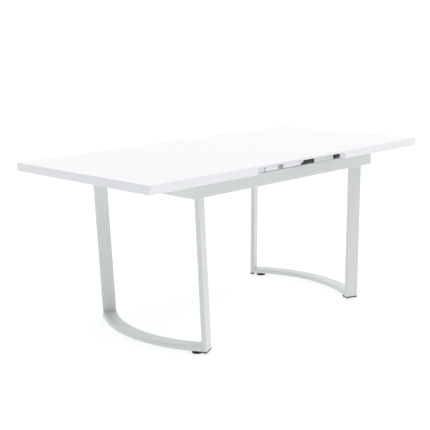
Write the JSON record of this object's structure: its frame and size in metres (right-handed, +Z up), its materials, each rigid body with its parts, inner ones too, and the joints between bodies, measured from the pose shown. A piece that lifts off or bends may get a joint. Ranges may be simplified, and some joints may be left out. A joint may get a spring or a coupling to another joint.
{
  "type": "extendable dining table",
  "caption": "White rectangular dining table that extends: sliding half tops over a folded stored leaf, on a light grey steel frame with curved floor rails.",
  "frame": {"origin": "on the floor, under the middle of the closed table", "axes": "+X along the table's length, +Y across it towards the back, +Z up"},
  "size_m": [1.7, 0.88, 0.76],
  "materials": {
    "white_lacquer": "satin white lacquer on board",
    "white_foil": "white foil on board",
    "frame_paint": "light grey powder coat",
    "black_plastic": "moulded black",
    "grey_plastic": "moulded grey",
    "zinc_steel": "zinc plated",
    "aluminium": "mill finish",
    "nylon": "natural nylon"
  },
  "bodies": {
    "frame": {"leaf_panel_lower": "white_lacquer", "leaf_panel_upper": "white_lacquer", "apron_front": "frame_paint", "apron_back": "frame_paint", "end_rail_left": "frame_paint", "end_rail_right": "frame_paint", "cross_rail_left": "frame_paint", "cross_rail_right": "frame_paint", "pivot_bracket_front": "frame_paint", "pivot_bracket_back": "frame_paint", "floor_rail_left": "frame_paint", "floor_rail_right": "frame_paint", "corner_plate_left_front": "frame_paint", "corner_plate_left_back": "frame_paint", "corner_plate_right_front": "frame_paint", "corner_plate_right_back": "frame_paint", "post_left_front": "frame_paint", "post_left_back": "frame_paint", "post_right_front": "frame_paint", "post_right_back": "frame_paint", "leaf_arm_front": "black_plastic", "leaf_arm_back": "black_plastic", "leaf_rest_front": "black_plastic", "leaf_rest_back": "black_plastic", "post_plug_left_front": "black_plastic", "post_plug_left_back": "black_plastic", "post_plug_right_front": "black_plastic", "post_plug_right_back": "black_plastic", "leaf_clip_front": "grey_plastic", "leaf_clip_back": "grey_plastic", "leaf_hinge_lower": "zinc_steel", "leaf_hinge_upper": "zinc_steel", "leaf_hinge_pin": "zinc_steel", "arm_pivot_pin_front": "zinc_steel", "arm_pivot_pin_back": "zinc_steel", "pinion_axle": "zinc_steel", "guide_front": "aluminium", "guide_back": "aluminium", "gear_base": "aluminium", "gear_cover": "aluminium"},
    "top_left": {"top_board_left": "white_lacquer", "edge_frame_left": "white_lacquer", "cross_batten_left": "white_foil", "runner_left_front": "aluminium", "runner_left_back": "aluminium", "rack_left": "nylon"},
    "top_right": {"top_board_right": "white_lacquer", "edge_frame_right": "white_lacquer", "cross_batten_right": "white_foil", "runner_right_front": "aluminium", "runner_right_back": "aluminium", "rack_right": "nylon", "leaf_catch_front": "black_plastic", "leaf_catch_back": "black_plastic"},
    "pinion": {"pinion": "nylon"},
    "foot_left_front": {"levelling_foot_left_front": "black_plastic"},
    "foot_left_back": {"levelling_foot_left_back": "black_plastic"},
    "foot_right_front": {"levelling_foot_right_front": "black_plastic"},
    "foot_right_back": {"levelling_foot_right_back": "black_plastic"}
  },
  "joints": [
    {"name": "left_top_slide", "type": "slide", "parent": "frame", "child": "top_left", "axis": [-1, 0, 0], "range_m": [0, 0.235]},
    {"name": "right_top_slide", "type": "slide", "parent": "frame", "child": "top_right", "axis": [1, 0, 0], "range_m": [0, 0.235]},
    {"name": "pinion_turn", "type": "hinge", "parent": "frame", "child": "pinion", "pos_m": [0, 0, 0.69], "axis": [0, 0, 1], "range_deg": [0, 749]},
    {"name": "foot_turn_left_front", "type": "hinge", "parent": "frame", "child": "foot_left_front", "pos_m": [-0.50258, -0.28946, 0], "axis": [0, 0, 1], "continuous": true},
    {"name": "foot_turn_left_back", "type": "hinge", "parent": "frame", "child": "foot_left_back", "pos_m": [-0.50258, 0.28946, 0], "axis": [0, 0, 1], "continuous": true},
    {"name": "foot_turn_right_front", "type": "hinge", "parent": "frame", "child": "foot_right_front", "pos_m": [0.50258, -0.28946, 0], "axis": [0, 0, 1], "continuous": true},
    {"name": "foot_turn_right_back", "type": "hinge", "parent": "frame", "child": "foot_right_back", "pos_m": [0.50258, 0.28946, 0], "axis": [0, 0, 1], "continuous": true}
  ],
  "couplings": [
    {"joint": "right_top_slide", "follows": "left_top_slide", "ratio": 1},
    {"joint": "pinion_turn", "follows": "left_top_slide", "rad_per_m": 55.556}
  ]
}
